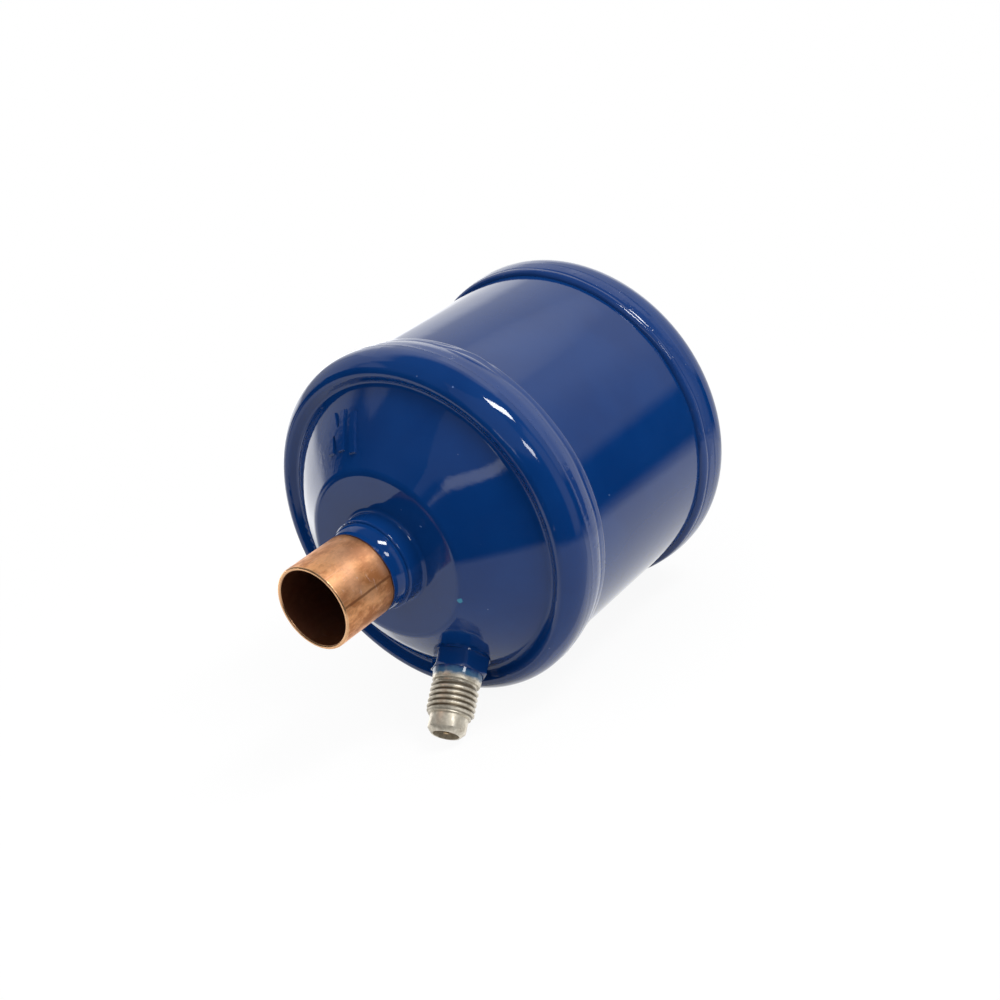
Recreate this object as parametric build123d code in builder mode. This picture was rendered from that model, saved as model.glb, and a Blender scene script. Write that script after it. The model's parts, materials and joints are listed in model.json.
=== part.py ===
"""Suction line filter drier: a welded steel shell with two pressed end caps,
copper solder fittings, an access valve on the inlet cap and a moulded
desiccant core held inside by a loading spring.

Frame: millimetres. +X runs along the flow, from the inlet to the outlet, and
+Z is up. The origin is on the flow axis, midway between the two fittings.
The drier lies on the rims of its two caps, with the nose of the access valve
touching the same surface, so that it can't roll.

Profiles of what is turned or pressed about the flow axis are drawn in (u, r):
u is the distance from the middle of the drier towards one end, and r is the
distance from the flow axis.
"""

import math
import os

from build123d import *

os.makedirs("parts", exist_ok=True)

# ---------------------------------------------------------------- shell and caps
shell_od = 82.8
shell_wall = 1.7
shell_setback = 7.1  # from the front of a cap's rim back to the shell's end
cap_sheet = 1.7
cap_slip = 0.05  # radial clearance of a cap's skirt on the shell
rim_span = 72.6  # from the front of one cap's rim to the front of the other's
skirt_land = 1.55  # straight stretch between the rim's corner and the skirt's edge
skirt_bevel = 2.5  # how far the skirt's inside runs on past its outside
rim_corner = 6.95
rim_crest = 2.0
crest_land = 0.1  # straight stretch between the corner and the crest
rim_lean = 40.0  # degrees from the axis, where the corner runs into the crest
valley_depth = 2.55  # below the front of the rim
valley_inset = 6.65  # from the rim's outside in to the bottom of the valley
valley_fillet = 1.3
crown_height = 3.45  # of the corner between the dome's two halves, over the rim
crown_inset = 13.1  # of that corner, from the rim's outside
dome_radius = 75.0
hub_height = 9.9  # over the rim
hub_inset = 22.55  # from the rim's outside
hub_fillet = 3.0
collar_wall = 1.1
collar_fillet = 0.9
collar_height = 4.7  # over the hub
collar_round = 0.45  # on the outside of the collar's end
weld_lengths = {"inlet": 7.4, "outlet": 4.6}  # from the skirt's edge along the shell
weld_toe_length = 0.9
weld_toe_height = 0.6
weld_toe_round = 0.5

# ---------------------------------------------------------------- solder fittings
tube_od = 19.9
tube_fit = 0.05  # radial clearance of the tube in the cap's collar
socket_id = 18.1
socket_depth = 16.0
stop_id = 16.0
overall_length = 141.1
tube_depth = 3.2  # from the hub's face to the fitting's inner end
mouth_round = 0.35
braze_height = 0.6  # on the end of the collar
braze_length = 3.0  # along the tube
braze_sag = 0.18  # hollow of the braze

# ---------------------------------------------------------------- access valve
hex_across_flats = 12.0
hex_length = 4.2
hex_chamfer = 0.55
hex_turn = 30.0  # degrees about the valve
seat_gap = 0.15  # between the dome and the flat under the hexagon
spigot_od = 8.0
spigot_length = 4.6
spigot_clearance = 0.05
valve_collar_r = 5.85
valve_collar_end_r = 5.5
valve_collar_length = 2.7
undercut_r = 4.85
undercut_length = 0.6
thread_major = 11.11
thread_length = 7.2
thread_lead_in = 0.6
nose_r = 4.45
nose_length = 19.0  # from the dome to the valve's mouth
nose_cone = 1.05  # 45 degree seat at the nose
mouth_r = 3.05
mouth_depth = 2.2
core_thread_r = 2.70
core_chamber_depth = 7.6  # from the mouth to the foot of the core's chamber
gasket_taper = 0.9
valve_passage_r = 2.05
braze_foot_r = 6.7
braze_foot_depth = 1.6

# ---------------------------------------------------------------- valve core
core_clearance = 0.04
core_head_length = 4.4
core_head_top = 2.5  # below the mouth
core_bridge_width = 1.5
core_bridge_height = 1.1
core_roof = 0.5
barrel_r = 1.75
barrel_length = 4.9
barrel_bore_r = 1.3
barrel_floor = 1.0
pin_r = 0.6
pin_clearance = 0.12
pin_top = 0.45  # below the mouth
pin_collar_r = 1.1
pin_collar_length = 0.5
pin_stop_gap = 0.02  # between the collar and the core's roof, valve shut
poppet_r = 1.55
poppet_length = 1.6
poppet_seal_length = 0.6
poppet_gap = 0.03  # between the seal and the barrel's foot, valve shut
valve_spring_wire = 0.24
valve_spring_turns = 6.0

# ---------------------------------------------------------------- inside the shell
core_od = 61.0
core_bore = 21.0
core_length = 40.0
core_setback = 7.2  # from the shell's outlet end back to the core
sleeve_gap = 0.3
sleeve_wall = 2.2
felt_inlet_thickness = 1.5
felt_outlet_thickness = 2.0
felt_outlet_bore = 26.0
plate_sheet = 1.0
plate_fit = 0.35  # radial clearance of what slides in the shell
plate_arms = 3
plate_arm_width = 9.0
plate_arm_return = 7.0
plate_boss_height = 4.0
plate_boss_clearance = 0.5
holder_bore = 23.6
holder_flange_clearance = 0.15
spring_wire = 1.8
spring_small_r = 13.6
spring_large_r = 20.0
spring_turns = 4.25
screen_sheet = 0.5
screen_flange = 3.7  # width of the flange, beyond the holder's bore
screen_clearance = 0.1
screen_length = 13.0
screen_hole_d = 2.4
screen_rows = 3
screen_holes = 12
screen_end_holes = 6

# ---------------------------------------------------------------- raised inlet mark
mark_height = 10.2
mark_stroke = 2.3  # at the foot of the strokes
mark_n_width = 6.0
mark_gap = 1.3
mark_raise = 0.55
mark_floor = 0.7  # how far the strokes are sunk into the dome
mark_drop = 1.3  # from the crown of the dome towards the hub
mark_bar_rise = 1.2  # how much nearer the hub the first letter stands
mark_taper = 20.0  # degrees, on the strokes' flanks

# ---------------------------------------------------------------- derived sizes
shell_r = shell_od / 2
shell_inner_r = shell_r - shell_wall
skirt_inner_r = shell_r + cap_slip
rim_r = skirt_inner_r + cap_sheet
rim_u = rim_span / 2
corner_u = rim_u - rim_corner
corner_r = rim_r - rim_corner
skirt_edge_u = corner_u - skirt_land
skirt_lip_u = skirt_edge_u - skirt_bevel
valley_u = rim_u - valley_depth
valley_r = rim_r - valley_inset
crown_u = rim_u + crown_height
crown_r = rim_r - crown_inset
hub_u = rim_u + hub_height
hub_r = rim_r - hub_inset
collar_end_u = hub_u + collar_height
shell_length = rim_span - 2 * shell_setback
mouth_u = overall_length / 2
tube_r = tube_od / 2
tube_inner_u = hub_u - tube_depth
collar_r = tube_r + tube_fit + collar_wall
thread_r = thread_major / 2
spigot_r = spigot_od / 2
lean = math.radians(rim_lean)

# The big corner of the rim hands over to a small crest, and the crest's far
# flank runs straight to the valley. Each is set by the sharp corner it rounds.
handover = (
    corner_u + rim_corner * math.cos(lean),
    corner_r + rim_corner * math.sin(lean),
)
skirt_corner_u = handover[0] - (rim_r - handover[1]) * math.tan(lean)
crest_centre = (
    handover[0] + crest_land * math.sin(lean) - rim_crest * math.cos(lean),
    handover[1] - crest_land * math.cos(lean) - rim_crest * math.sin(lean),
)
to_valley = (valley_u - crest_centre[0], valley_r - crest_centre[1])
flank_angle = math.atan2(to_valley[1], to_valley[0])
flank_angle += math.acos(rim_crest / math.hypot(*to_valley))
crest_reach = crest_land + rim_crest * math.tan((lean - flank_angle) / 2)
crest_corner = (
    handover[0] + crest_reach * math.sin(lean),
    handover[1] - crest_reach * math.cos(lean),
)

# The dome's two halves meet at its crown, where the valve stands.
outer_slope = math.atan2(crown_u - valley_u, valley_r - crown_r)
inner_slope = math.atan2(hub_u - crown_u, crown_r - hub_r)
valve_lean = (outer_slope + inner_slope) / 2  # from the flow axis
crown_cut = dome_radius * (1 / math.cos((outer_slope - inner_slope) / 2) - 1)
foot_u = crown_u - crown_cut * math.cos(valve_lean)
foot_r = crown_r - crown_cut * math.sin(valve_lean)


def nose_depth(roll):
    """How far below the flow axis the valve's nose reaches at this roll."""
    shoulder = nose_length - nose_cone
    arm = foot_r + shoulder * math.sin(valve_lean)
    tilt = math.hypot(math.cos(valve_lean) * math.cos(roll), math.sin(roll))
    return arm * math.cos(roll) + nose_r * tilt


def resting_roll():
    """The roll, from straight down, at which the nose meets the surface."""
    low = 0.0
    high = math.radians(60)
    for _ in range(60):
        middle = (low + high) / 2
        if nose_depth(middle) > rim_r:
            low = middle
        else:
            high = middle
    return low


valve_roll = resting_roll()


def radial(roll):
    """Unit vector away from the flow axis, at a roll from straight down."""
    return Vector(0, -math.sin(roll), -math.cos(roll))


def dome_plane(roll):
    """Plane on the inlet cap's crown: z out of the dome, y towards the hub."""
    out = radial(roll)
    return Plane(
        origin=Vector(-foot_u, 0, 0) + out * foot_r,
        x_dir=out.cross(Vector(1, 0, 0)),
        z_dir=Vector(-math.cos(valve_lean), 0, 0) + out * math.sin(valve_lean),
    )


valve_plane = dome_plane(valve_roll)
mark_plane = dome_plane(valve_roll + math.pi)

# Profile planes: x is u and y is r, for the inlet's end and for the outlet's.
end_planes = {
    "inlet": Plane(origin=(0, 0, 0), x_dir=(-1, 0, 0), z_dir=(0, 1, 0)),
    "outlet": Plane(origin=(0, 0, 0), x_dir=(1, 0, 0), z_dir=(0, -1, 0)),
}


def finish(piece, name):
    """Label a finished piece and write it."""
    piece.part.label = name
    export_step(piece.part, f"parts/{name}.step")


# ---------------------------------------------------------------- shell
with BuildPart() as shell:
    with BuildSketch(Plane.YZ):
        Circle(shell_r)
        Circle(shell_inner_r, mode=Mode.SUBTRACT)
    extrude(amount=shell_length / 2, both=True)
finish(shell, "shell")

# ---------------------------------------------------------------- raised mark
# The letters' feet face the rim and their tops face the hub.
mark_width = mark_stroke + mark_gap + mark_n_width
bar_x = (mark_stroke - mark_width) / 2
n_left = mark_width / 2 - mark_n_width
n_right = mark_width / 2
n_bars = (n_left + mark_stroke / 2, n_right - mark_stroke / 2)

with BuildPart() as mark:
    with BuildSketch(mark_plane.offset(-mark_floor)):
        with Locations((0, mark_drop)):
            with Locations((bar_x, mark_bar_rise), (n_bars[0], 0), (n_bars[1], 0)):
                Rectangle(mark_stroke, mark_height)
            Polygon(
                (n_left, mark_height / 2),
                (n_left + mark_stroke, mark_height / 2),
                (n_right, -mark_height / 2),
                (n_right - mark_stroke, -mark_height / 2),
                align=None,
            )
    extrude(amount=mark_floor + mark_raise + 1, taper=mark_taper)
    with BuildSketch(end_planes["inlet"]):
        with BuildLine():
            FilletPolyline(
                (valley_u, valley_r),
                (crown_u, crown_r),
                (hub_u, hub_r),
                radius=dome_radius,
            )
            offset(amount=mark_raise, side=Side.BOTH)
        make_face()
    revolve(axis=Axis.X, mode=Mode.INTERSECT)

# ---------------------------------------------------------------- each end
# Corners of a cap's outside, from the skirt's edge to the end of its collar, and
# the rounding of each corner between those two: below zero where it is hollow.
cap_corners = (
    (skirt_edge_u, rim_r),
    (skirt_corner_u, rim_r),
    crest_corner,
    (valley_u, valley_r),
    (crown_u, crown_r),
    (hub_u, hub_r),
    (hub_u, collar_r),
    (collar_end_u, collar_r),
)
cap_rounds = (rim_corner, rim_crest, -valley_fillet, dome_radius, hub_fillet, -collar_fillet)


def inward(start, end):
    """Unit vector into the sheet, square to the line from start to end."""
    along = (Vector(*end) - Vector(*start)).normalized()
    return Vector(along.Y, -along.X)


def cap_line(depth):
    """Line in a cap's sheet, at this depth under its outside."""
    sides = [inward(a, b) for a, b in zip(cap_corners, cap_corners[1:])]
    befores = [sides[0]] + sides
    afters = sides + [sides[-1]]
    corners = []
    for corner, before, after in zip(cap_corners, befores, afters):
        corners.append(Vector(*corner) + (before + after) * (depth / (1 + before.dot(after))))
    corners[0] -= Vector(skirt_bevel * depth / cap_sheet, 0)
    return FilletPolyline(*corners, radius=[abs(r - depth) for r in cap_rounds])


for end, plane in end_planes.items():
    with BuildPart() as cap:
        with BuildSketch(plane):
            with BuildLine():
                outside = cap_line(0)
                inside = cap_line(cap_sheet)
                Line(outside @ 0, inside @ 0)
                Line(outside @ 1, inside @ 1)
            make_face()
        revolve(axis=Axis.X)
        end_edges = cap.edges().filter_by(GeomType.CIRCLE).group_by(Axis.X)
        collar_edges = end_edges[0] if end == "inlet" else end_edges[-1]
        fillet(collar_edges.sort_by(SortBy.RADIUS)[-1], collar_round)
        with BuildSketch(Plane.YZ):
            Circle(tube_r + tube_fit)
        outwards = -1 if end == "inlet" else 1
        extrude(amount=outwards * overall_length, mode=Mode.SUBTRACT)
        if end == "inlet":
            with BuildSketch(valve_plane):
                Circle(spigot_r + spigot_clearance)
            extrude(amount=spigot_length, both=True, mode=Mode.SUBTRACT)
            add(mark.part)
    finish(cap, f"{end}_cap")

    # Wide weld that fills the skirt's bevel and slopes down to a rounded toe on
    # the shell.
    toe_u = skirt_edge_u - weld_lengths[end]
    with BuildPart() as weld:
        with BuildSketch(plane):
            with BuildLine():
                Polyline(
                    (toe_u, shell_r),
                    (skirt_lip_u, shell_r),
                    (skirt_lip_u, skirt_inner_r),
                    (skirt_edge_u, rim_r),
                )
                FilletPolyline(
                    (skirt_edge_u, rim_r),
                    (toe_u + weld_toe_length, shell_r + weld_toe_height),
                    (toe_u, shell_r),
                    radius=weld_toe_round,
                )
            make_face()
        revolve(axis=Axis.X)
    finish(weld, f"{end}_weld")

    # Copper fitting: a solder socket with a stop, brazed into the cap's collar.
    with BuildPart() as fitting:
        with BuildSketch(plane):
            with BuildLine():
                Polyline(
                    (tube_inner_u, stop_id / 2),
                    (tube_inner_u, tube_r),
                    (mouth_u, tube_r),
                    (mouth_u, socket_id / 2),
                    (mouth_u - socket_depth, socket_id / 2),
                    (mouth_u - socket_depth, stop_id / 2),
                    close=True,
                )
            make_face()
        revolve(axis=Axis.X)
        mouth_edges = fitting.edges().filter_by(GeomType.CIRCLE)
        fillet([e for e in mouth_edges if abs(abs(e.center().X) - mouth_u) < 0.001], mouth_round)
    finish(fitting, f"{end}_fitting")

    # Ring of braze between the collar's end and the fitting.
    with BuildPart() as braze:
        with BuildSketch(plane):
            with BuildLine():
                Line((collar_end_u, tube_r), (collar_end_u, tube_r + braze_height))
                SagittaArc(
                    (collar_end_u, tube_r + braze_height),
                    (collar_end_u + braze_length, tube_r),
                    braze_sag,
                )
                Line((collar_end_u + braze_length, tube_r), (collar_end_u, tube_r))
            make_face()
        revolve(axis=Axis.X)
    finish(braze, f"{end}_braze")
    if end == "inlet":
        inlet_cap = cap

# ---------------------------------------------------------------- access valve
# Along the valve, s = 0 at the dome and grows towards the valve's mouth.
valve_axis = Axis(valve_plane.origin, valve_plane.z_dir)
valve_profile = Plane(
    origin=valve_plane.origin,
    x_dir=valve_plane.x_dir,
    z_dir=valve_plane.x_dir.cross(valve_plane.z_dir),
)
collar_s = hex_length
undercut_s = collar_s + valve_collar_length
thread_s = undercut_s + undercut_length
thread_end_s = thread_s + thread_length
chamber_s = nose_length - core_chamber_depth
taper_s = chamber_s - gasket_taper

with BuildPart() as valve_body:
    with BuildSketch(valve_plane.offset(seat_gap)):
        RegularPolygon(hex_across_flats / 2, 6, major_radius=False, rotation=hex_turn)
    extrude(amount=hex_length - seat_gap)
    with BuildSketch(valve_profile):
        hex_corner_r = hex_across_flats / math.sqrt(3)
        with BuildLine():
            Polyline(
                (hex_across_flats / 2, hex_length),
                (hex_corner_r, hex_length - hex_chamfer),
                (hex_corner_r + 1, hex_length - hex_chamfer),
                (hex_corner_r + 1, hex_length),
                close=True,
            )
        make_face()
    revolve(axis=valve_axis, mode=Mode.SUBTRACT)
    with BuildSketch(valve_profile):
        with BuildLine():
            Polyline(
                (0, -spigot_length),
                (spigot_r, -spigot_length),
                (spigot_r, collar_s),
                (valve_collar_r, collar_s),
                (valve_collar_end_r, undercut_s),
                (undercut_r, undercut_s),
                (undercut_r, thread_s),
                (thread_r, thread_s),
                (thread_r, thread_end_s - thread_lead_in),
                (nose_r, thread_end_s),
                (nose_r, nose_length - nose_cone),
                (nose_r - nose_cone, nose_length),
                (0, nose_length),
                close=True,
            )
        make_face()
    revolve(axis=valve_axis)
    with BuildSketch(valve_profile):
        with BuildLine():
            Polyline(
                (0, -spigot_length - 1),
                (valve_passage_r, -spigot_length - 1),
                (valve_passage_r, taper_s),
                (core_thread_r, chamber_s),
                (core_thread_r, nose_length - mouth_depth),
                (mouth_r, nose_length - mouth_depth),
                (mouth_r, nose_length + 1),
                (0, nose_length + 1),
                close=True,
            )
        make_face()
    revolve(axis=valve_axis, mode=Mode.SUBTRACT)
finish(valve_body, "valve_body")

# Braze that fills the gap between the flat of the hexagon and the dome.
with BuildPart() as valve_braze:
    with BuildSketch(valve_plane.offset(seat_gap)):
        Circle(braze_foot_r)
        Circle(spigot_r, mode=Mode.SUBTRACT)
    extrude(amount=-braze_foot_depth)
    add(inlet_cap.part, mode=Mode.SUBTRACT)
finish(valve_braze, "valve_braze")

# ---------------------------------------------------------------- valve core
head_s = nose_length - core_head_top - core_head_length
head_end_s = nose_length - core_head_top
bridge_s = head_end_s - core_bridge_height
barrel_s = head_s - barrel_length
core_head_r = core_thread_r - core_clearance
pin_hole_r = pin_r + pin_clearance
floor_s = barrel_s + barrel_floor
pin_collar_s = bridge_s - core_roof - pin_stop_gap - pin_collar_length
pin_top_s = nose_length - pin_top

with BuildPart() as valve_core_body:
    with BuildSketch(valve_profile):
        with BuildLine():
            Polyline(
                (pin_hole_r, barrel_s),
                (barrel_r, barrel_s),
                (barrel_r, head_s),
                (core_head_r, head_s),
                (core_head_r, head_end_s),
                (pin_hole_r, head_end_s),
                (pin_hole_r, bridge_s - core_roof),
                (barrel_bore_r, bridge_s - core_roof),
                (barrel_bore_r, floor_s),
                (pin_hole_r, floor_s),
                close=True,
            )
        make_face()
    revolve(axis=valve_axis)
    # Flats milled away beside the bridge that the key turns.
    with BuildSketch(valve_plane.offset(bridge_s)):
        with Locations((0, core_thread_r), (0, -core_thread_r)):
            Rectangle(core_thread_r * 3, core_thread_r * 2 - core_bridge_width)
    extrude(amount=core_bridge_height + 1, mode=Mode.SUBTRACT)
finish(valve_core_body, "valve_core_body")

with BuildPart() as valve_core_gasket:
    with BuildSketch(valve_profile):
        with BuildLine():
            Polyline(
                (barrel_r, taper_s),
                (valve_passage_r, taper_s),
                (core_thread_r, chamber_s),
                (core_thread_r, head_s),
                (barrel_r, head_s),
                close=True,
            )
        make_face()
    revolve(axis=valve_axis)
finish(valve_core_gasket, "valve_core_gasket")

poppet_top_s = barrel_s - poppet_gap - poppet_seal_length
with BuildPart() as valve_pin:
    with BuildSketch(valve_profile):
        with BuildLine():
            Polyline(
                (0, poppet_top_s - poppet_length),
                (poppet_r, poppet_top_s - poppet_length),
                (poppet_r, poppet_top_s),
                (pin_r, poppet_top_s),
                (pin_r, pin_collar_s),
                (pin_collar_r, pin_collar_s),
                (pin_collar_r, pin_collar_s + pin_collar_length),
                (pin_r, pin_collar_s + pin_collar_length),
                (pin_r, pin_top_s),
                (0, pin_top_s),
                close=True,
            )
        make_face()
    revolve(axis=valve_axis)
finish(valve_pin, "valve_pin")

with BuildPart() as valve_seal:
    with BuildSketch(valve_plane.offset(poppet_top_s)):
        Circle(poppet_r)
        Circle(pin_r, mode=Mode.SUBTRACT)
    extrude(amount=poppet_seal_length)
finish(valve_seal, "valve_seal")


def helix_spring(plane, small_r, large_r, height, turns, wire):
    """Round-wire helix that climbs the plane's z from the large end."""
    lean_in = math.degrees(math.atan2(large_r - small_r, height))
    with BuildPart() as coil:
        with BuildLine():
            path = Helix(
                pitch=height / turns,
                height=height,
                radius=large_r,
                center=plane.origin,
                direction=plane.z_dir,
                cone_angle=-lean_in,
            )
        with BuildSketch(Plane(origin=path @ 0, z_dir=path % 0)):
            Circle(wire / 2)
        sweep(path=path, is_frenet=True)
    return coil


valve_spring = helix_spring(
    plane=valve_plane.offset(floor_s + valve_spring_wire / 2),
    small_r=(pin_collar_r + pin_hole_r) / 2,
    large_r=(pin_collar_r + pin_hole_r) / 2,
    height=pin_collar_s - floor_s - valve_spring_wire,
    turns=valve_spring_turns,
    wire=valve_spring_wire,
)
finish(valve_spring, "valve_spring")

# ---------------------------------------------------------------- core assembly
core_outlet_x = shell_length / 2 - core_setback
core_inlet_x = core_outlet_x - core_length
plate_x = core_inlet_x - felt_inlet_thickness - plate_sheet
plate_reach = shell_inner_r - plate_fit
core_r = core_od / 2
core_bore_r = core_bore / 2

with BuildPart() as desiccant_core:
    with BuildSketch(Plane.YZ.offset(core_inlet_x)):
        Circle(core_r)
        Circle(core_bore_r, mode=Mode.SUBTRACT)
    extrude(amount=core_length)
finish(desiccant_core, "desiccant_core")

with BuildPart() as filter_sleeve:
    with BuildSketch(Plane.YZ.offset(core_inlet_x)):
        Circle(core_r + sleeve_gap + sleeve_wall)
        Circle(core_r + sleeve_gap, mode=Mode.SUBTRACT)
    extrude(amount=core_length)
finish(filter_sleeve, "filter_sleeve")

felts = {
    "inlet_felt": (core_inlet_x - felt_inlet_thickness, felt_inlet_thickness, core_bore),
    "outlet_felt": (core_outlet_x, felt_outlet_thickness, felt_outlet_bore),
}
for name, (start_x, thickness, bore) in felts.items():
    with BuildPart() as felt:
        with BuildSketch(Plane.YZ.offset(start_x)):
            Circle(core_r)
            Circle(bore / 2, mode=Mode.SUBTRACT)
        extrude(amount=thickness)
    finish(felt, name)

# Blind plate that the spring presses on; its arms centre the core in the shell.
with BuildPart() as core_end_plate:
    with BuildSketch(Plane.YZ.offset(plate_x)):
        Circle(core_r)
        with PolarLocations(0, plate_arms):
            with Locations((plate_reach / 2, 0)):
                Rectangle(plate_reach, plate_arm_width)
    extrude(amount=plate_sheet)
    with BuildSketch(Plane.YZ.offset(plate_x + plate_sheet)):
        Circle(core_bore_r - plate_boss_clearance)
    extrude(amount=plate_boss_height)
    with BuildSketch(Plane.YZ.offset(plate_x)):
        with PolarLocations(0, plate_arms):
            with Locations((plate_reach / 2, 0)):
                Rectangle(plate_reach, plate_arm_width)
        Circle(plate_reach - plate_sheet, mode=Mode.SUBTRACT)
    extrude(amount=-plate_arm_return)
    with BuildSketch(Plane.YZ):
        Circle(plate_reach)
    extrude(amount=overall_length / 2, both=True, mode=Mode.INTERSECT)
finish(core_end_plate, "core_end_plate")

# Conical spring between the inlet cap's hub and the blind plate.
spring_start_x = plate_x - spring_wire / 2
spring_end_x = -(hub_u - cap_sheet - spring_wire / 2)
loading_spring = helix_spring(
    plane=Plane(origin=(spring_start_x, 0, 0), x_dir=(0, 1, 0), z_dir=(-1, 0, 0)),
    small_r=spring_small_r,
    large_r=spring_large_r,
    height=spring_start_x - spring_end_x,
    turns=spring_turns,
    wire=spring_wire,
)
finish(loading_spring, "loading_spring")

# Dished holder that closes the gap round the core; its flange is trapped
# between the shell's end and the outlet cap.
holder_x = core_outlet_x + felt_outlet_thickness
flange_x = shell_length / 2
flange_r = skirt_inner_r - holder_flange_clearance
holder_wall_r = shell_inner_r - plate_fit
with BuildPart() as core_holder:
    with BuildSketch(end_planes["outlet"]):
        with BuildLine():
            Polyline(
                (holder_x, holder_bore / 2),
                (holder_x, holder_wall_r),
                (flange_x, holder_wall_r),
                (flange_x, flange_r),
                (flange_x + plate_sheet, flange_r),
                (flange_x + plate_sheet, holder_wall_r - plate_sheet),
                (holder_x + plate_sheet, holder_wall_r - plate_sheet),
                (holder_x + plate_sheet, holder_bore / 2),
                close=True,
            )
        make_face()
    revolve(axis=Axis.X)
finish(core_holder, "core_holder")

# Perforated strainer, set through the holder's bore.
screen_r = holder_bore / 2 - screen_clearance
screen_flange_r = holder_bore / 2 + screen_flange
screen_x = holder_x + plate_sheet
screen_end_x = screen_x + screen_length
row_step = screen_length / (screen_rows + 1)
with BuildPart() as outlet_screen:
    with BuildSketch(end_planes["outlet"]):
        with BuildLine():
            Polyline(
                (holder_x, screen_r - screen_sheet),
                (holder_x, screen_r),
                (screen_x, screen_r),
                (screen_x, screen_flange_r),
                (screen_x + screen_sheet, screen_flange_r),
                (screen_x + screen_sheet, screen_r),
                (screen_end_x, screen_r),
                (screen_end_x, 0),
                (screen_end_x - screen_sheet, 0),
                (screen_end_x - screen_sheet, screen_r - screen_sheet),
                close=True,
            )
        make_face()
    revolve(axis=Axis.X)
    for row in range(screen_rows):
        hole_x = screen_x + screen_sheet + row_step * (row + 0.7)
        for column in range(screen_holes // 2):
            turn = 360 / screen_holes * (column + row % 2 / 2)
            with BuildSketch(Plane.XY.rotated((turn, 0, 0))):
                with Locations((hole_x, 0)):
                    Circle(screen_hole_d / 2)
            extrude(amount=screen_r + 1, both=True, mode=Mode.SUBTRACT)
    with BuildSketch(Plane.YZ.offset(screen_end_x)):
        with PolarLocations(screen_r * 0.55, screen_end_holes):
            Circle(screen_hole_d / 2)
        Circle(screen_hole_d / 2)
    extrude(amount=-screen_sheet, mode=Mode.SUBTRACT)
finish(outlet_screen, "outlet_screen")
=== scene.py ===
import json
import math

import bmesh
import bpy
from mathutils import Matrix, Quaternion, Vector


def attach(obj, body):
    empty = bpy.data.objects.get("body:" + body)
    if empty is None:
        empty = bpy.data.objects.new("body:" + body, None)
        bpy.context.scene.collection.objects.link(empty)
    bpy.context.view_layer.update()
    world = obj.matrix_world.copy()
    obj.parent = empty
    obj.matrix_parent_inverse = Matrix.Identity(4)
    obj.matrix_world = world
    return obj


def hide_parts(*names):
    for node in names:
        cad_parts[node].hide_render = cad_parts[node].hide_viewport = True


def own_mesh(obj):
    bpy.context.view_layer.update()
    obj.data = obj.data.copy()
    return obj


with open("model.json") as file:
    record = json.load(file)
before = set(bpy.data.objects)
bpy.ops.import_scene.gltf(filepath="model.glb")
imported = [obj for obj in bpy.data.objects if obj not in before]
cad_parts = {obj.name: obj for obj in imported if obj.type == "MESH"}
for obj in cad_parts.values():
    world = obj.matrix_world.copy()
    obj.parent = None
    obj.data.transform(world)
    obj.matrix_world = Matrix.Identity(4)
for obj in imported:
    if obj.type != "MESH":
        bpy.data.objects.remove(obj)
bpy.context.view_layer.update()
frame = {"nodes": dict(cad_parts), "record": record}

# Lengths are in metres and in the row frame: X runs along the flow, Z is up.
MM = 0.001

# ---------------------------------------------------------------- sizes
shell_r = 41.4 * MM
rim_r = 43.15 * MM
skirt_edge = 27.8 * MM  # from the middle to the edge of a cap's skirt
inlet_weld_length = 7.4 * MM
outlet_weld_length = 4.6 * MM
inlet_toe = (1.3 * MM, 0.78 * MM)
outlet_toe = (1.4 * MM, 1.35 * MM)
inlet_overlap = math.radians(-27)  # where each bead runs over its own start
outlet_overlap = math.radians(140)
weld_lap = 0.25 * MM  # the bead laps onto the skirt by this much
weld_root_depth = 0.3 * MM  # of the bead's underside, below the shell's outside
weld_root_reach = 2.6 * MM  # how far that underside runs in from the skirt's edge
tube_r = 9.95 * MM
mouth_end = 70.55 * MM
paint_end = 55.2 * MM  # where the blue stops on a fitting

hex_across = 12.0 * MM
hex_foot = 0.15 * MM
hex_top = 4.2 * MM
hex_chamfer = 0.55 * MM
hex_turn = math.radians(30)
hex_corner_round = 0.16 * MM
hex_hole_r = 3.0 * MM
spigot_r = 4.0 * MM
spigot_foot = -4.6 * MM
passage_r = 2.05 * MM
stem_collar_r = 5.85 * MM
stem_collar_foot = 4.1 * MM
undercut_r = 4.85 * MM
undercut_start = 6.9 * MM
thread_start = 7.5 * MM
thread_end = 14.7 * MM
thread_pitch = 1.27 * MM
thread_major = 5.555 * MM
thread_minor = 4.93 * MM
thread_lead_in = 0.75 * MM
thread_core_r = 4.75 * MM  # of the stem under the helix
nose_r = 4.45 * MM
nose_end = 19.0 * MM
mouth_r = 3.05 * MM
mouth_foot = 16.8 * MM
core_seat_r = 2.7 * MM
core_seat_foot = 11.4 * MM
taper_foot = 10.5 * MM
paint_stop = 5.9 * MM  # where the blue stops on the valve
letters_middle = (-41.5 * MM, 8.5 * MM, 25.5 * MM)
floor_drop = rim_r  # the drier lies on the rims of its caps
floor_r = 1.6
lamp_distance = 1.2

# The valve stands on its own line; its place comes from the row's pin mount,
# which is at the middle of the thread.
thread_middle = 10.8 * MM


def valve_frame():
    """Matrix from the valve's own frame, with Z out of the dome, to the row frame."""
    mount = next(m for m in frame["record"]["mounts"] if m["name"] == "access_valve")
    out = Vector(mount["axis"]).normalized()
    foot = Vector(mount["pos_m"]) - out * thread_middle
    across = Vector((0, out.y, out.z)).cross(Vector((1, 0, 0))).normalized()
    matrix = Matrix((across, out.cross(across), out)).transposed().to_4x4()
    matrix.translation = foot
    return matrix


VALVE = valve_frame()
VALVE_OUT = VALVE.to_3x3() @ Vector((0, 0, 1))


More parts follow.
